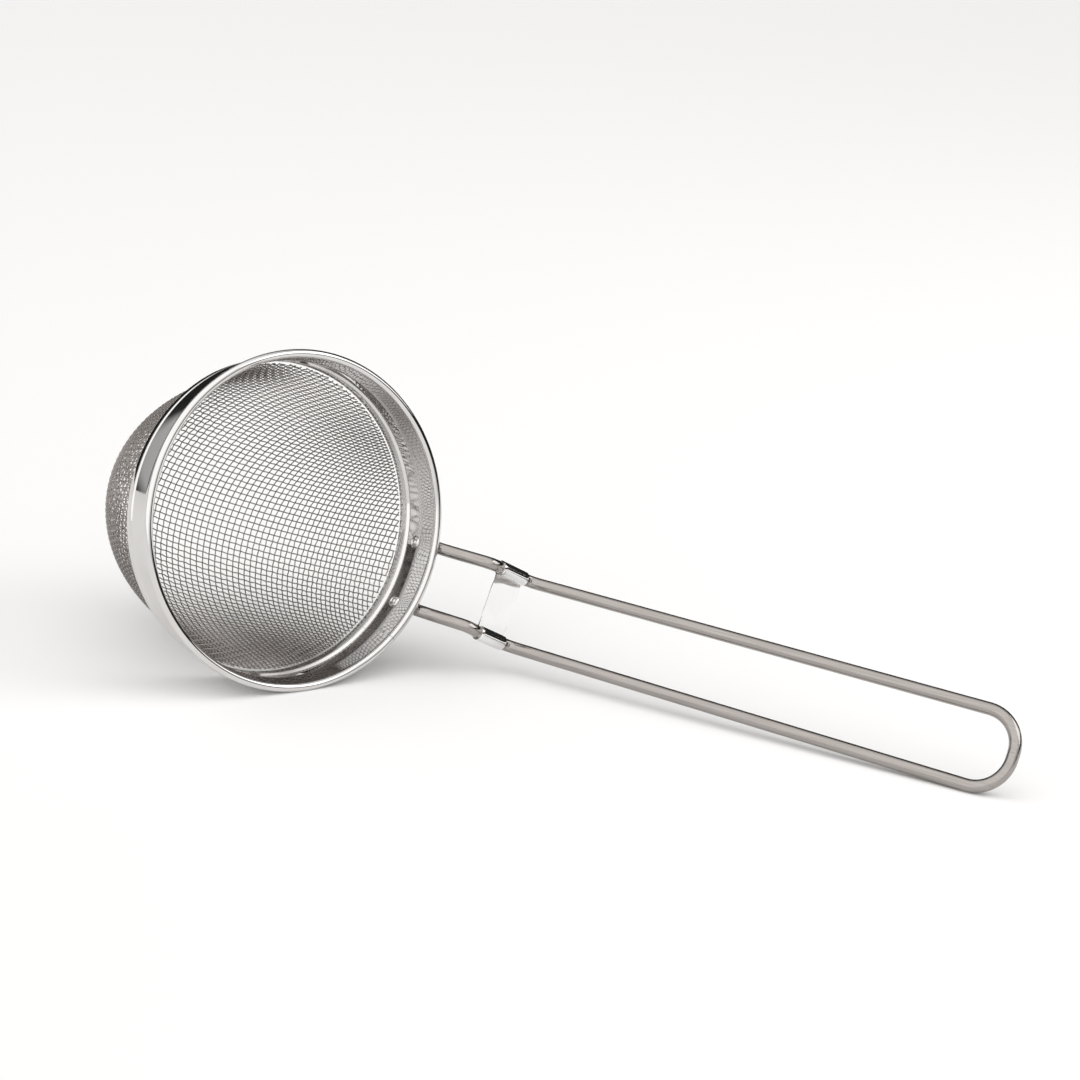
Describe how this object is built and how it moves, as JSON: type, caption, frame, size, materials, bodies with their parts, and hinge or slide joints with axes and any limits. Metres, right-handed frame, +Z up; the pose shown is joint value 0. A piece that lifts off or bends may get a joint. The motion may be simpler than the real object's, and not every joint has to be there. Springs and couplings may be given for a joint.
{
  "type": "tea strainer",
  "caption": "Deep round woven-mesh strainer bowl in a rolled steel rim, riveted to one long bent-wire loop handle with a flat clip.",
  "frame": {"origin": "middle of the bottom of the whole strainer as it lies on a table", "axes": "+X along the handle from the bowl to its end, +Z up from the table; the mouth of the bowl faces +X, -Y and a little up"},
  "size_m": [0.2254, 0.0888, 0.0785],
  "materials": {
    "polished_steel": "bright polished stainless sheet with light use marks",
    "plain_wire": "drawn wire, hidden inside the rolled bead",
    "woven_steel": "plain-woven stainless wire cloth, half bright",
    "brushed_wire": "round wire, satin along the handle and polished at the legs",
    "rivet_steel": "bright domed rivet"
  },
  "bodies": {
    "root": {"rim_band": "polished_steel", "rim_core_wire": "plain_wire", "clamp_ring": "polished_steel", "mesh_bowl": "woven_steel", "handle_wire": "brushed_wire", "handle_bracket": "polished_steel", "rivet_upper": "rivet_steel", "rivet_lower": "rivet_steel"}
  },
  "joints": []
}
